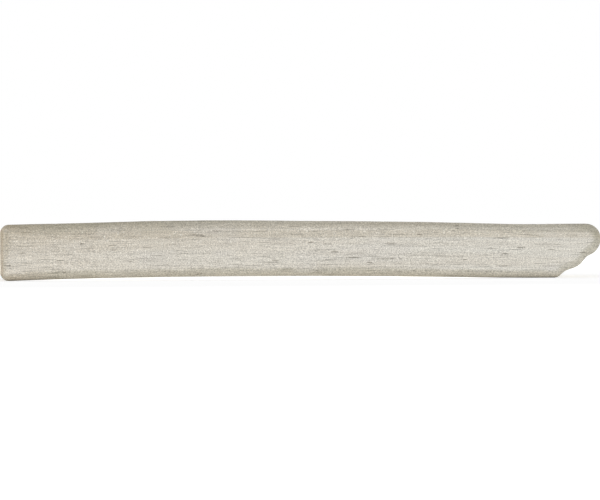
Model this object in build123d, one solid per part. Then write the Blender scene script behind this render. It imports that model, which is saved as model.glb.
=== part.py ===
from build123d import *

import os
from math import cos, radians

# Stair nosing tile: one solid slab of pale bedded stone, laid with its moulded nose over the edge of a step.
#
# The slab is one section carried along the step. Its underside bows up a little between the back edge and a
# level strip behind the nose, and it stands on those two. Its top is worn to an uneven rise of about 3 mm.
# The nose is a moulding of five curves that run into one another: a torus, a cove, an ovolo, a lower cove and
# a toe. Tumbling has rounded the edges round both ends and along the back.
#
# X runs from the back of the slab to the nose, Y along the step and Z up. The origin is on the ground that the
# slab stands on, under the middle of its outline. Millimetres and degrees.

# The slab
tread_depth = 330.0  # back face to the tip of the nose
tile_width = 330.0  # end to end, along the step
nose_thickness = 29.6
worn_radius = 4.2  # of the tumbled edges

# The underside
bow_rise = 1.9  # above the ground, at the crest of the bow
bow_from_back = 125.0
bow_slope = 0.034  # up from the back edge
bow_shoulder_rise = 0.75
bow_shoulder_from_tip = 85.0
bottom_strip = 9.0  # level part behind the nose

# The top, above the level of its strip behind the nose
back_rise = 1.5
crest_rise = 3.2
crest_from_back = 104.0
middle_rise = 2.8
middle_from_back = 147.0
shoulder_rise = 1.25
shoulder_from_tip = 86.0
top_strip = 25.0  # level part behind the nose

# The nose moulding, below its torus. The torus takes the height that these leave
cove_radius = 15.7
ovolo_radius = 14.8
lower_cove_radius = 9.5
toe_radius = 5.2

# How steeply the moulding falls back where one curve runs into the next, below level
slope_at_cove = 28.0
slope_at_ovolo = 51.5
slope_at_lower_cove = 14.7
slope_at_toe = 49.0


def height_of(radius, gentler_slope, steeper_slope):
    """Height between two slopes of an arc."""
    return radius * (cos(radians(gentler_slope)) - cos(radians(steeper_slope)))


def nose_moulding(tip_x):
    """The five arcs of the nose, from the level top round to the level underside, each tangent to the last."""
    height_below_torus = (
        height_of(cove_radius, slope_at_cove, slope_at_ovolo)
        + height_of(ovolo_radius, slope_at_lower_cove, slope_at_ovolo)
        + height_of(lower_cove_radius, slope_at_lower_cove, slope_at_toe)
        + height_of(toe_radius, 0, slope_at_toe)
    )
    torus_radius = (nose_thickness - height_below_torus) / (1 + cos(radians(slope_at_cove)))
    torus_start = (tip_x - torus_radius, nose_thickness)
    torus = JernArc(torus_start, (1, 0), torus_radius, slope_at_cove - 180)
    cove = JernArc(torus @ 1, torus % 1, cove_radius, slope_at_ovolo - slope_at_cove)
    ovolo = JernArc(cove @ 1, cove % 1, ovolo_radius, slope_at_lower_cove - slope_at_ovolo)
    lower_cove = JernArc(ovolo @ 1, ovolo % 1, lower_cove_radius, slope_at_toe - slope_at_lower_cove)
    toe = JernArc(lower_cove @ 1, lower_cove % 1, toe_radius, -slope_at_toe)
    return torus, toe


def slab_section(plane):
    """The closed section on a plane across the step, with the nose on its right."""
    back_x = -tread_depth / 2
    tip_x = tread_depth / 2
    with BuildSketch(plane) as section:
        with BuildLine():
            torus, toe = nose_moulding(tip_x)

            # The underside. Its back corner is low enough to leave the worn edge there on the ground
            bottom_strip_back = toe @ 1 - Vector(bottom_strip, 0)
            Line(toe @ 1, bottom_strip_back)
            bow_shoulder = (tip_x - bow_shoulder_from_tip, bow_shoulder_rise)
            bow_crest = (back_x + bow_from_back, bow_rise)
            low_corner = (back_x, -worn_radius * bow_slope)
            underside = Spline(
                bottom_strip_back, bow_shoulder, bow_crest, low_corner, tangents=[(-1, 0), (-1, -bow_slope)]
            )

            # The top
            top_strip_back = torus @ 0 - Vector(top_strip, 0)
            high_corner = (back_x, nose_thickness + back_rise)
            crest = (back_x + crest_from_back, nose_thickness + crest_rise)
            middle = (back_x + middle_from_back, nose_thickness + middle_rise)
            shoulder = (tip_x - shoulder_from_tip, nose_thickness + shoulder_rise)
            top = Spline(high_corner, crest, middle, shoulder, top_strip_back, tangents=[(1, 0), (1, 0)])
            Line(top_strip_back, torus @ 0)

            Line(underside @ 1, top @ 0)
        make_face()
    return section.sketch


def nosing_tile():
    """The section carried from the far end to the near one, with its ends and its back worn round."""
    far_end = Plane.XZ.offset(-tile_width / 2)
    slab = extrude(slab_section(far_end), amount=tile_width)
    ends = slab.faces().filter_by(Axis.Y)
    back = slab.faces().sort_by(Axis.X)[0]
    return fillet(ends.edges() + back.edges().filter_by(Axis.Y), worn_radius)


os.makedirs("parts", exist_ok=True)
export_step(nosing_tile(), "parts/nosing_tile.step")
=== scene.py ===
import math
import random

import bmesh
import bpy
from mathutils import Matrix, Vector, kdtree, noise
from mathutils.bvhtree import BVHTree


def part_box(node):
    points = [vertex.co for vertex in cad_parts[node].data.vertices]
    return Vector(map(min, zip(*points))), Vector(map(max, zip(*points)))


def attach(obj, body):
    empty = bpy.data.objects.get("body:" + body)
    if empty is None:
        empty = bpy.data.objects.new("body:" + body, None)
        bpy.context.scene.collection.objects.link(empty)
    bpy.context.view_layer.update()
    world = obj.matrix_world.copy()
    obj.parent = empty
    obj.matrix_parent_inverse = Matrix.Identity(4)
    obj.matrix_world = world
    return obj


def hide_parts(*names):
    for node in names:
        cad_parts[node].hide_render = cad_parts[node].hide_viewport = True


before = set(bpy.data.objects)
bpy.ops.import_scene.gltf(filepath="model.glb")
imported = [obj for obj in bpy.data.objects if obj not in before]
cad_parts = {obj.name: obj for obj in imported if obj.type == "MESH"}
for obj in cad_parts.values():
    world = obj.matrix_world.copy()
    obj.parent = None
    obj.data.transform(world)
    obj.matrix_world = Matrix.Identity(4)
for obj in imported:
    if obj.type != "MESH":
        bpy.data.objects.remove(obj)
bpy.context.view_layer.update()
scene = bpy.context.scene

# The slab: one piece of travertine, sawn out of the block along its beds and moulded along one edge, then
# tumbled with sand until every edge was round. The mesh starts as that shape, as a fine even lattice, for the
# voids and the wear to be worked into.
MM = 0.001
SAME_PLACE = 0.001 * MM
LATTICE = 0.8 * MM

sawn = bmesh.new()
sawn.from_mesh(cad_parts["nosing_tile"].data)
bmesh.ops.remove_doubles(sawn, verts=sawn.verts, dist=SAME_PLACE)
sawn_surface = BVHTree.FromBMesh(sawn)
low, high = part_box("nosing_tile")

slab = bpy.data.objects.new("travertine_slab", bpy.data.meshes.new("travertine_slab"))
sawn.to_mesh(slab.data)
sawn.free()
scene.collection.objects.link(slab)


def apply_modifiers(piece):
    """Leaves the piece with the mesh that its modifiers make."""
    shaped = piece.evaluated_get(bpy.context.evaluated_depsgraph_get())
    made = bpy.data.meshes.new_from_object(shaped)
    piece.modifiers.clear()
    piece.data = made


lattice = slab.modifiers.new("lattice", "REMESH")
lattice.mode = "VOXEL"
lattice.voxel_size = LATTICE
apply_modifiers(slab)

# The voids: travertine sets round bubbles and plant stems, which leave flat hollows lying in its beds. A face
# cut across the beds opens them as thin slots, and one cut along the beds as shallow pits, in groups.
SLOTS_ON_AN_END = 20
SLOTS_ON_THE_NOSE = 36
SLOTS_ON_THE_BACK = 26
PIT_GROUPS_ON_TOP = 30
PIT_GROUPS_UNDERNEATH = 10
PITS_IN_A_GROUP = (2, 16)
# Half sizes in mm: the least and the most, and where there is a third number, the commonest
END_SLOT_LENGTH, END_SLOT_DEPTH, END_SLOT_THICKNESS = (0.8, 4.5, 1.2), 0.5, (0.09, 0.15)
EDGE_SLOT_LENGTH, EDGE_SLOT_DEPTH, EDGE_SLOT_THICKNESS = (1, 5, 2), 0.7, (0.16, 0.32)
PIT_SIZE = (0.45, 3, 0.6)
# A pit's half sizes along X, Y and Z, as shares of its size, and how far a group spreads along X and Y, in mm
PIT_SHARES = ((0.7, 1.2), (0.6, 1.7), (0.28, 0.5))
PIT_SPREAD = (8, 16)
# The slots that stand out on the near end, in mm: from the back, above the ground, length and thickness
NEAR_END_SLOTS = [
    (108, 24.7, 9, 0.35), (93, 29.6, 10, 0.4), (120, 26.8, 6, 0.3), (131, 29.8, 3, 0.3), (162, 29, 7, 0.3),
    (49, 25.6, 7, 0.3), (62, 19.2, 5, 0.35), (81, 18, 4, 0.35), (180, 19.3, 6, 0.3), (194, 11.8, 12, 0.25),
    (212, 10.9, 16, 0.35), (203, 9, 3, 0.35), (231, 29.3, 5, 0.4), (230, 24.2, 3, 0.4), (251, 29.2, 4, 0.4),
    (251, 27.5, 2, 0.6), (276, 22, 8, 0.35), (286, 16.7, 5, 0.35), (276, 6.6, 12, 0.25), (303, 6.5, 12, 0.25),
]
NEAR_SLOT_HALF_DEPTH = 0.8
# Its own shade makes a slot look this many times as thick as it is
SHOWN_THICKER = 1.5
OFF_EDGE = 3 * MM

rng = random.Random(11)
voids = []


def open_void(start, direction, half_sizes, kind):
    """Puts a void, of half sizes in mm along X, Y and Z, where a straight line meets the sawn surface."""
    middle = sawn_surface.ray_cast(Vector(start), Vector(direction))[0]
    if middle:
        voids.append((middle, Vector(half_sizes) * MM, kind))


def anywhere(axis):
    """A random place on an axis of the slab, a little in from its edges."""
    return rng.uniform(low[axis] + OFF_EDGE, high[axis] - OFF_EDGE)


# Each line starts a metre from the middle of the slab
for from_back, height, length, thickness in NEAR_END_SLOTS:
    half_sizes = (length / 2, NEAR_SLOT_HALF_DEPTH, thickness / (2 * SHOWN_THICKER))
    open_void((low.x + from_back * MM, -1, height * MM), (0, 1, 0), half_sizes, "slot")
for side in (-1, 1):
    for i in range(SLOTS_ON_AN_END):
        half_sizes = (rng.triangular(*END_SLOT_LENGTH), END_SLOT_DEPTH, rng.uniform(*END_SLOT_THICKNESS))
        open_void((anywhere(0), side, anywhere(2)), (0, -side, 0), half_sizes, "slot")
for side, count in ((1, SLOTS_ON_THE_NOSE), (-1, SLOTS_ON_THE_BACK)):
    for i in range(count):
        half_sizes = (EDGE_SLOT_DEPTH, rng.triangular(*EDGE_SLOT_LENGTH), rng.uniform(*EDGE_SLOT_THICKNESS))
        open_void((side, anywhere(1), anywhere(2)), (-side, 0, 0), half_sizes, "slot")
for side, groups in ((1, PIT_GROUPS_ON_TOP), (-1, PIT_GROUPS_UNDERNEATH)):
    for i in range(groups):
        x, y = anywhere(0), anywhere(1)
        for j in range(rng.randint(*PITS_IN_A_GROUP)):
            size = rng.triangular(*PIT_SIZE)
            half_sizes = [size * rng.uniform(*limits) for limits in PIT_SHARES]
            off_x, off_y = [rng.gauss(0, spread) * MM for spread in PIT_SPREAD]
            open_void((x + off_x, y + off_y, side), (0, 0, -side), half_sizes, "pit")

# The lattice is made finer round each void, so that the void has walls of its own
CUTS = {"pit": 1, "slot": 5}
block = bmesh.new()
block.from_mesh(slab.data)


def corner_tree():
    """The block's corners, sorted for finding those near a place."""
    block.verts.index_update()
    block.verts.ensure_lookup_table()
    corners = kdtree.KDTree(len(block.verts))
    for corner in block.verts:
        corners.insert(corner.co, corner.index)
    corners.balance()
    return corners


for refined, cuts in CUTS.items():
    corners = corner_tree()
    near = set()
    for middle, half_sizes, kind in voids:
        if kind != refined:
            continue
        for co, index, distance in corners.find_range(middle, max(half_sizes) + LATTICE):
            offset = co - middle
            if all(abs(offset[axis]) < half_sizes[axis] + LATTICE for axis in range(3)):
                near.add(block.verts[index])
    edges = {edge for corner in near for edge in corner.link_edges if edge.other_vert(corner) in near}
    bmesh.ops.subdivide_edges(block, edges=list(edges), cuts=cuts, use_grid_fill=True)

# Each void is sunk straight into the stone, as far as the wall of its ellipsoid, which is a little ragged. It
# keeps the stone's colour down to its pale depth and grows darker from there on, over its darkening depth:
# partly dust, and partly painted shade deep in the void.
RAGGED_LENGTH = 1.3 * MM
RAGGEDNESS = 0.5
WIDEST = 1.3
PALE_DEPTH = {"pit": 0.35 * MM, "slot": 0}
DARKENING_DEPTH = {"pit": 1.0 * MM, "slot": 0.3 * MM}
block.normal_update()
corners = corner_tree()
sunk = [0.0] * len(block.verts)
void_darkening = [0.0] * len(block.verts)
for middle, half_sizes, kind in voids:
    for co, index, distance in corners.find_range(middle, max(half_sizes) * WIDEST):
        normal = block.verts[index].normal
        walls = half_sizes * (1 + RAGGEDNESS * noise.noise(co / RAGGED_LENGTH))
        offset = Vector([(co[axis] - middle[axis]) / walls[axis] for axis in range(3)])
        inward = Vector([-normal[axis] / walls[axis] for axis in range(3)])
        # The line inward meets the ellipsoid where a * depth ** 2 + 2 * b * depth + c is 0
        a, b, c = inward.dot(inward), offset.dot(inward), offset.dot(offset) - 1
        if c < 0:
            sunk[index] = max(sunk[index], (math.sqrt(b * b - a * c) - b) / a)
            void_darkening[index] = min(1, max(void_darkening[index], (sunk[index] - PALE_DEPTH[kind]) / DARKENING_DEPTH[kind]))

# The wear: a slow unevenness all over, most of it along the rounded edges, and least on the moulding and
# underneath, where the slab stands. Two stretches of the moulding stand a little fuller than the sawn shape.
WORN_RADIUS = 4.2 * MM
SLOW_LENGTH, SLOW_WEAR = 26 * MM, 0.14 * MM
QUICK_LENGTH, QUICK_WEAR = 8 * MM, 0.05 * MM
EDGE_WEAR = 0.3 * MM
LEAST_WEAR = 0.02 * MM
LESS_UNDERNEATH = 0.85
NOSE_DEPTH, NOSE_SHARE = 30 * MM, 0.3
# The height of each stretch, its reach up and down, and how much fuller it is
FULLER = [(13.7 * MM, 1.6 * MM, 0.65 * MM), (7 * MM, 2.5 * MM, 0.45 * MM)]
# They are that full wherever the surface faces the front by at least this share
FACING_FRONT = 0.3

# The dull skin and edge shade, as shares of a full one: an olive film where the stone is worn, with painted
# shade where the rounded edges turn away from the lamps. The top has a little of it, the back edge and the
# rounded edges of the ends more, and each end has a band, a softer rim that fades inward, and a lip along the
# top, which are partly the olive of the wear and partly painted shade.
TOP_SKIN = 0.1
EDGE_SKIN_AND_SHADE = 0.7
BAND_SKIN_AND_SHADE, BAND_WIDTH, BAND_FADE = 0.42, 4.6 * MM, 0.7 * MM
BAND_RAGGED, BAND_WIDER_AT_BACK = 0.2, 0.3
RIM_WIDTH, RIM_FADE, RIM_RAGGED = 1.6 * MM, 3 * MM, 1.2
LOW_RIM_SKIN_AND_SHADE, BACK_RIM_SKIN_AND_SHADE, NOSE_RIM_SKIN_AND_SHADE = 0.3, 0.5, 0.55
LIP_SKIN_AND_SHADE, LIP_WIDTH = 0.35, 0.8 * MM
ALONG_A_RIM = 12 * MM
BACK_RIM_LENGTH = 110 * MM
NOSE_RIM_START, NOSE_RIM_FADE = high.x - 20 * MM, 10 * MM


def share(value):
    """A value kept from 0 to 1."""
    return min(1, max(0, value))


def rounding(facing, place):
    """How near a place is to the middle of a rounded edge, from 0 on a face to 1."""
    end = 2 * abs(facing.y) * math.sqrt(max(0, 1 - facing.y ** 2))
    back = 2 * abs(facing.x * facing.z) if place.x < low.x + WORN_RADIUS else 0
    return min(1, max(end, back))


def skin_and_shade_on_end(place, from_end):
    """How much of the dull skin and painted edge shade an end has at a place, from 0 to 1."""
    inside_rim = sawn_surface.find_nearest((place.x, 0, place.z))[3]
    ragged = noise.noise(place / ALONG_A_RIM)
    # From 0 a third of the way up to 1 at two thirds
    upper = share(3 * place.z / high.z - 1)
    to_back = share(-place.x / BACK_RIM_LENGTH)
    to_nose = share((place.x - NOSE_RIM_START) / NOSE_RIM_FADE)

    band_edge = BAND_WIDTH * (1 + BAND_RAGGED * ragged + BAND_WIDER_AT_BACK * upper * to_back)
    band = share((band_edge - inside_rim) / BAND_FADE) * min(1, (place.x - low.x) / BAND_WIDTH) ** 2
    rim = share(1 - (inside_rim - RIM_WIDTH * (1 + RIM_RAGGED * ragged)) / RIM_FADE)
    rim_skin_and_shade = LOW_RIM_SKIN_AND_SHADE * (1 - upper) + (BACK_RIM_SKIN_AND_SHADE * to_back + NOSE_RIM_SKIN_AND_SHADE * to_nose) * upper
    lip = share(1 - inside_rim / LIP_WIDTH) * upper
    onto_the_slab = min(1, 2 - from_end / WORN_RADIUS)
    return share(BAND_SKIN_AND_SHADE * band + rim_skin_and_shade * rim + LIP_SKIN_AND_SHADE * lip) * onto_the_slab


def skin_and_shade_at(facing, place):
    """How much of the dull skin and painted edge shade a place has, from 0 to 1."""
    skin_and_shade_here = max(TOP_SKIN * facing.z, EDGE_SKIN_AND_SHADE * rounding(facing, place) ** 2)
    from_end = high.y - abs(place.y)
    if from_end > 2 * WORN_RADIUS:
        return skin_and_shade_here
    return max(skin_and_shade_here, skin_and_shade_on_end(place, from_end))


# The dull skin and the painted edge shade at each corner
skin_and_shade_layer = block.verts.layers.float.new("skin_and_edge_shade")
# The dust and painted shade deep in each void
void_darkening_layer = block.verts.layers.float.new("void_dust_and_shade")
moves = []
for corner in block.verts:
    # Noise runs from about -0.5 to 0.5
    slow = 0.5 + noise.noise(corner.co / SLOW_LENGTH)
    quick = 0.5 + noise.noise(corner.co / QUICK_LENGTH)
    face_wear = SLOW_WEAR * slow + QUICK_WEAR * quick
    face_wear *= 1 - LESS_UNDERNEATH * max(0, -corner.normal.z)
    if corner.co.x > high.x - NOSE_DEPTH:
        face_wear *= NOSE_SHARE
        for height, reach, fuller in FULLER:
            swell = fuller * math.exp(-((corner.co.z - height) / reach) ** 2)
            face_wear -= swell * share(corner.normal.x / FACING_FRONT) * (1 - abs(corner.normal.y))
    wear = LEAST_WEAR + face_wear + EDGE_WEAR * rounding(corner.normal, corner.co) * slow
    moves.append(corner.normal * -(wear + sunk[corner.index]))
    corner[skin_and_shade_layer] = skin_and_shade_at(corner.normal, corner.co)
    corner[void_darkening_layer] = void_darkening[corner.index]
for corner, move in zip(block.verts, moves):
    corner.co += move
bmesh.ops.triangulate(block, faces=block.faces)
block.to_mesh(slab.data)
block.free()

# The mesh is thinned out where it is flat, and no corner of it may pass the box of the sawn shape
KEPT_TRIANGLES = 190000
thinning = slab.modifiers.new("thinning", "DECIMATE")
thinning.ratio = KEPT_TRIANGLES / len(slab.data.polygons)
apply_modifiers(slab)
for corner in slab.data.vertices:
    corner.co = [min(max(corner.co[axis], low[axis]), high[axis]) for axis in range(3)]
slab.data.shade_smooth()

# The stone: tumbled travertine, a porous lime stone laid down in water bed on bed. To the eye it is a matt
# cream with warmer beds, fine darker streaks along them, and an olive skin where it is worn. Painted shade
# is laid over it too: along the rounded edges, browner on the back and bottom edges, and deep in the voids.
CREAM = "#D5D2C9"
WARM_BED = "#CCC2B2"
DUSKY_BED = "#BBB2A0"
COOL_PATCH = "#CDCAC6"
PALE_FLECK = "#ECE9DF"
DARK_SEAM = "#5F584B"
# The olive of the wear, also used as painted shade along the rounded edges
SKIN_AND_EDGE_SHADE = "#8F8A73"
# A brown tone for the painted shade on the back and bottom edges
BROWN_TONE_AND_SHADE = "#A48F74"
# Dust in the voids, and painted shade deep in them
VOID_DUST_AND_SHADE = "#6E6656"


def linear(colour):
    """A linear colour from an sRGB hex one."""
    steps = [int(colour[i:i + 2], 16) / 255 for i in (1, 3, 5)]
    return [s / 12.92 if s <= 0.04045 else ((s + 0.055) / 1.055) ** 2.4 for s in steps] + [1.0]


def add_node(tree, kind, inputs=(), out=0, **settings):
    """Adds a node and returns an output of it. Each input is a value, or the output that feeds it."""
    node = tree.nodes.new("ShaderNode" + kind)
    for name, value in settings.items():
        setattr(node, name, value)
    for name, value in dict(inputs).items():
        if isinstance(value, bpy.types.NodeSocket):
            tree.links.new(value, node.inputs[name])
        else:
            node.inputs[name].default_value = value
    return node.outputs[out]


stone = bpy.data.materials.new("tumbled_travertine")
stone.use_nodes = True
tree = stone.node_tree
shader = tree.nodes["Principled BSDF"]

# The beds bow with the slab, by this much for each metre squared from the crest, and waver a little. Level is
# the height in the beds, as if they lay flat
BOW = 0.03
BOW_CREST = -30 * MM
WAVER, WAVER_LENGTH = 1.2 * MM, 110 * MM
place = add_node(tree, "TexCoord", out="Object")
along = add_node(tree, "SeparateXYZ", {"Vector": place}, "X")
across = add_node(tree, "SeparateXYZ", {"Vector": place}, "Y")
up = add_node(tree, "SeparateXYZ", {"Vector": place}, "Z")
from_crest = add_node(tree, "Math", {0: along, 1: BOW_CREST}, operation="SUBTRACT")
squared = add_node(tree, "Math", {0: from_crest, 1: from_crest}, operation="MULTIPLY")
bowed = add_node(tree, "Math", {0: squared, 1: BOW, 2: up}, operation="MULTIPLY_ADD")
waver = add_node(tree, "TexNoise", {"Vector": place, "Scale": 1 / WAVER_LENGTH, "Detail": 1})
level = add_node(tree, "Math", {0: waver, 1: WAVER, 2: bowed}, operation="MULTIPLY_ADD")
beds = add_node(tree, "CombineXYZ", {"X": along, "Y": across, "Z": level})


def bedded(length, width, height, detail, shift):
    """A pattern of patches of this size in millimetres, lying in the beds, mostly from 0.3 to 0.7."""
    scale = (1000 / length, 1000 / width, 1000 / height)
    sizes = add_node(tree, "Mapping", {"Vector": beds, "Scale": scale, "Location": (shift, shift, shift)})
    return add_node(tree, "TexNoise", {"Vector": sizes, "Scale": 1, "Detail": detail})


bed_tone = bedded(100, 70, 5, 3, 0)
patches = bedded(26, 26, 12, 2, 17)
flecks = bedded(1.5, 1.5, 0.8, 0, 19)
lines = bedded(250, 150, 0.9, 1, 23)
streaks = bedded(16, 10, 0.4, 1, 3)
grain = bedded(0.66, 0.66, 0.36, 0, 7)

# Dark seams run along the beds, up to just under the top
below_top = add_node(tree, "MapRange", {"Value": level, "From Min": 30 * MM, "From Max": 28 * MM})
seams = add_node(tree, "Math", {0: bedded(12, 8, 0.26, 0, 11), 1: below_top}, operation="MULTIPLY")

# One dusky bed runs the whole way, and the upper beds are duskier towards the back
DUSKY_BED_LEVEL = 25.6 * MM
over_dusky_bed = add_node(tree, "Math", {0: level, 1: DUSKY_BED_LEVEL}, operation="SUBTRACT")
off_dusky_bed = add_node(tree, "Math", {0: over_dusky_bed}, operation="ABSOLUTE")
to_back = add_node(tree, "MapRange", {"Value": along, "From Min": -30 * MM, "From Max": -120 * MM})
to_top = add_node(tree, "MapRange", {"Value": level, "From Min": 15 * MM, "From Max": 22 * MM})
high_at_back = add_node(tree, "Math", {0: to_back, 1: to_top}, operation="MULTIPLY")

# The skin and its painted edge shade are browner near the back edge and along the bottom
BROWNER_START, BROWNER_FULL = low.x + 30 * MM, low.x + 5 * MM
skin_and_shade_amount = add_node(tree, "Attribute", out="Fac", attribute_name="skin_and_edge_shade")
# How much dust and painted shade a void has
void_darkening_amount = add_node(tree, "Attribute", out="Fac", attribute_name="void_dust_and_shade")
by_back = add_node(tree, "MapRange", {"Value": along, "From Min": BROWNER_START, "From Max": BROWNER_FULL})
back_rim = add_node(tree, "Math", {0: by_back, 1: skin_and_shade_amount}, operation="MULTIPLY")
underneath = add_node(tree, "MapRange", {"Value": up, "From Min": 6 * MM, "From Max": 2 * MM})
low_rim = add_node(tree, "Math", {0: underneath, 1: skin_and_shade_amount}, operation="MULTIPLY")

# Each colour is laid over the last, where its pattern rises from the first number to the second, as far as
# the third
LAYERS = [
    (WARM_BED, bed_tone, 0.4, 0.68, 0.3),
    (DUSKY_BED, off_dusky_bed, 2.7 * MM, 1.6 * MM, 0.6),
    (DUSKY_BED, high_at_back, 0, 1, 0.45),
    (WARM_BED, level, 27.2 * MM, 29.5 * MM, 0.45),
    (WARM_BED, along, high.x, low.x, 0.42),
    (COOL_PATCH, patches, 0.52, 0.66, 0.22),
    (PALE_FLECK, flecks, 0.64, 0.76, 0.5),
    (DARK_SEAM, seams, 0.71, 0.77, 0.65),
    # The olive of the wear, and painted shade along the rounded edges
    (SKIN_AND_EDGE_SHADE, skin_and_shade_amount, 0, 1, 0.62),
    # The painted edge shade is browner at the back and along the bottom
    (BROWN_TONE_AND_SHADE, back_rim, 0, 1, 0.3),
    (BROWN_TONE_AND_SHADE, low_rim, 0, 1, 0.15),
    # A browner, darker strip right along the back edge: painted shade where the edge rounds away, with a
    # brown tone
    (BROWN_TONE_AND_SHADE, along, low.x + 2.5 * MM, low.x, 0.55),
    # Dust in the voids, and painted shade deeper in them
    (VOID_DUST_AND_SHADE, void_darkening_amount, 0, 1, 0.85),
]
# The sockets of a colour Mix node
AMOUNT, UNDER, OVER, MIXED = 0, 6, 7, 2

colour = linear(CREAM)
for layer, pattern, start, full, most in LAYERS:
    amount = add_node(tree, "MapRange", {
        "Value": pattern,
        "From Min": start,
        "From Max": full,
        "To Max": most,
    })
    over = linear(layer)
    colour = add_node(tree, "Mix", {AMOUNT: amount, UNDER: colour, OVER: over}, MIXED, data_type="RGBA")

# Lines, streaks and grain make it lighter and darker by a few parts in a hundred. The real grain is finer
# than the render can show, so it is drawn about three times as coarse
LINE_STRENGTH = 0.22
STREAK_STRENGTH = 0.45
GRAIN_STRENGTH = 1.2
plain = 1 - (LINE_STRENGTH + STREAK_STRENGTH + GRAIN_STRENGTH) / 2
lined = add_node(tree, "Math", {0: lines, 1: LINE_STRENGTH, 2: plain}, operation="MULTIPLY_ADD")
streaked = add_node(tree, "Math", {0: streaks, 1: STREAK_STRENGTH, 2: lined}, operation="MULTIPLY_ADD")
tone = add_node(tree, "Math", {0: grain, 1: GRAIN_STRENGTH, 2: streaked}, operation="MULTIPLY_ADD")
toned = add_node(tree, "HueSaturation", {"Value": tone, "Color": colour})
tree.links.new(toned, shader.inputs["Base Color"])

# Lime stone that sand has tumbled is matt, and the streaks stand half as high as the grain
LIME_STONE_IOR = 1.5
SMOOTHEST, ROUGHEST = 0.7, 0.9
RELIEF, STREAK_SHARE = 0.15 * MM, 0.5
shader.inputs["IOR"].default_value = LIME_STONE_IOR
roughness = add_node(tree, "MapRange", {"Value": streaks, "To Min": SMOOTHEST, "To Max": ROUGHEST})
tree.links.new(roughness, shader.inputs["Roughness"])
rough = add_node(tree, "Math", {0: streaks, 1: STREAK_SHARE, 2: grain}, operation="MULTIPLY_ADD")
relief = add_node(tree, "Bump", {"Height": rough, "Distance": RELIEF, "Strength": 1.0})
tree.links.new(relief, shader.inputs["Normal"])

slab.data.materials.clear()
slab.data.materials.append(stone)
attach(slab, "root")
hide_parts("nosing_tile")

# The camera: level with the slab and far off along the step, so that the end shows as a flat outline. The
# slab fills the picture from side to side, and lies a third of a degree out of level in it.
CAMERA_TO_END = 3.0
PICTURE_WIDTH = 329.29 * MM
AIM = Vector((-0.18 * MM, 0, 16.05 * MM))
ROLL = math.radians(0.364)
SENSOR = 36.0
FARTHEST_SEEN = 100

lens = bpy.data.cameras.new("camera")
lens.sensor_width = SENSOR
lens.lens = SENSOR * (CAMERA_TO_END + WORN_RADIUS) / PICTURE_WIDTH
lens.clip_end = FARTHEST_SEEN
camera = bpy.data.objects.new("camera", lens)
camera.location = (AIM.x, low.y - CAMERA_TO_END, AIM.z)
facing_the_end = Matrix.Rotation(math.radians(90), 3, "X")
camera.rotation_euler = (facing_the_end @ Matrix.Rotation(-ROLL, 3, "Z")).to_euler()
scene.collection.objects.link(camera)
scene.camera = camera

# The floor: a wide white sheet of paper. To the camera it also glows a little, so that it shows white where
# no shadow falls, as in a product photograph. Under the bow of the slab and far away it glows to full white.
PAPER = "#F2F2F2"
FLOOR_SIZE = 60.0
NEAR_GLOW = 0.36
BOW_GLOW = 0.97
BOW_START, BOW_END, BOW_IN_FROM_END = low.x + WORN_RADIUS, 136 * MM, 20 * MM
BOW_MIDDLE, BOW_LENGTH = (BOW_START + BOW_END) / 2, BOW_END - BOW_START
BOW_WIDTH = high.y - low.y - 2 * BOW_IN_FROM_END
FADE_START, FADE_END = 0.7, 1.6

sheet = bmesh.new()
bmesh.ops.create_grid(sheet, x_segments=1, y_segments=1, size=FLOOR_SIZE / 2)
floor = bpy.data.objects.new("floor", bpy.data.meshes.new("floor"))
sheet.to_mesh(floor.data)
sheet.free()
scene.collection.objects.link(floor)

paper = bpy.data.materials.new("white_paper")
paper.use_nodes = True
tree = paper.node_tree
tree.nodes.clear()


def seen_by_camera(tree):
    """1 for a ray from the camera, straight or by a mirror or glass, and 0 for one that gathers light."""
    straight = add_node(tree, "LightPath", out="Is Camera Ray")
    mirrored = add_node(tree, "LightPath", out="Is Glossy Ray")
    through = add_node(tree, "LightPath", out="Is Transmission Ray")
    either = add_node(tree, "Math", {0: straight, 1: mirrored}, operation="MAXIMUM")
    return add_node(tree, "Math", {0: either, 1: through}, operation="MAXIMUM")


spot = add_node(tree, "TexCoord", out="Object")
from_middle = add_node(tree, "VectorMath", {0: spot, 1: (BOW_MIDDLE, 0, 0)}, operation="SUBTRACT")
outward = add_node(tree, "VectorMath", {0: from_middle}, operation="ABSOLUTE")
out_along = add_node(tree, "SeparateXYZ", {"Vector": outward}, "X")
out_across = add_node(tree, "SeparateXYZ", {"Vector": outward}, "Y")
in_length = add_node(tree, "Math", {0: out_along, 1: BOW_LENGTH / 2}, operation="LESS_THAN")
in_width = add_node(tree, "Math", {0: out_across, 1: BOW_WIDTH / 2}, operation="LESS_THAN")
under_bow = add_node(tree, "Math", {0: in_length, 1: in_width}, operation="MULTIPLY")
bow_glow = add_node(tree, "Math", {0: under_bow, 1: BOW_GLOW}, operation="MULTIPLY")
from_slab = add_node(tree, "VectorMath", {0: spot}, "Value", operation="LENGTH")
open_glow = add_node(tree, "MapRange", {
    "Value": from_slab,
    "From Min": FADE_START,
    "From Max": FADE_END,
    "To Min": NEAR_GLOW,
    "To Max": 1.0,
})
glow = add_node(tree, "Math", {0: open_glow, 1: bow_glow}, operation="MAXIMUM")
shown_glow = add_node(tree, "Math", {0: glow, 1: seen_by_camera(tree)}, operation="MULTIPLY")
light = add_node(tree, "Emission", {"Strength": shown_glow})
matt = add_node(tree, "BsdfDiffuse", {"Color": linear(PAPER)})
both = add_node(tree, "AddShader", {0: matt, 1: light})
paper_out = tree.nodes.new("ShaderNodeOutputMaterial")
tree.links.new(both, paper_out.inputs["Surface"])
floor.data.materials.append(paper)

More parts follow.
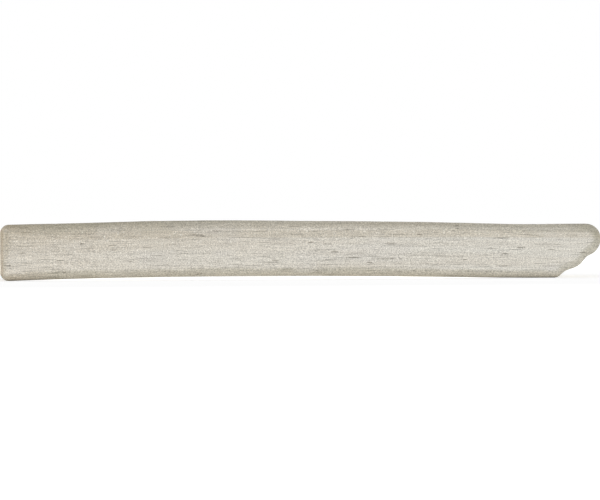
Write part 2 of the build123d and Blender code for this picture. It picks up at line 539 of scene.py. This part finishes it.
# The room: white to the camera, and an even soft light to everything else, with soft lamps on stands round
# the slab. The one in front is the strongest, so that the end is a little brighter than the top. Two flat
# lamps lie under the slab, a wide one and one below its bow, and light its lower edges.
ROOM_LIGHT = 0.4
LOW_LAMP_SIZE, LOW_LAMP_LEVEL, BOW_LAMP_LEVEL = 3.0, 0.38, 0.59
FLAT_LAMP_HEIGHT = 0.005 * MM

world = bpy.data.worlds.new("studio")
scene.world = world
world.use_nodes = True
tree = world.node_tree
strength = add_node(tree, "MapRange", {"Value": seen_by_camera(tree), "To Min": ROOM_LIGHT, "To Max": 1.0})
tree.nodes["Background"].inputs["Color"].default_value = (1, 1, 1, 1)
tree.links.new(strength, tree.nodes["Background"].inputs["Strength"])


def softbox(name, place, width, height, level):
    """A soft lamp turned to the slab. At level 1 it shows a white sheet that faces it as white."""
    lamp = bpy.data.lights.new(name, "AREA")
    lamp.shape = "RECTANGLE"
    lamp.size = width
    lamp.size_y = height
    lamp.energy = level * math.pi ** 2 * Vector(place).length_squared
    box = bpy.data.objects.new(name, lamp)
    box.location = place
    box.rotation_euler = Vector(place).to_track_quat("Z", "Y").to_euler()
    box.visible_camera = False
    scene.collection.objects.link(box)


softbox("front_lamp", (-0.5, -4.4, 0.7), 2.4, 1.2, 0.3)
softbox("nose_lamp", (3.4, 0.2, 1.4), 1.8, 1.2, 0.25)
softbox("back_lamp", (-3.4, 0.2, 1.4), 1.8, 1.2, 0.25)
softbox("far_lamp", (0.2, 3.4, 1.4), 1.8, 1.2, 0.25)


def flat_lamp(name, x, length, width, level):
    """A lamp lying face up just clear of the floor. Level 1 is as bright as white paper in full light."""
    lamp = bpy.data.lights.new(name, "AREA")
    lamp.shape = "RECTANGLE"
    lamp.size = length
    lamp.size_y = width
    lamp.energy = level * math.pi * length * width
    box = bpy.data.objects.new(name, lamp)
    box.location = (x, 0, FLAT_LAMP_HEIGHT)
    box.rotation_euler.x = math.pi
    box.visible_camera = False
    box.visible_glossy = False
    scene.collection.objects.link(box)


flat_lamp("low_lamp", 0, LOW_LAMP_SIZE, LOW_LAMP_SIZE, LOW_LAMP_LEVEL)
flat_lamp("bow_lamp", BOW_MIDDLE, BOW_LENGTH, high.y - low.y, BOW_LAMP_LEVEL)

scene.view_settings.view_transform = "Standard"
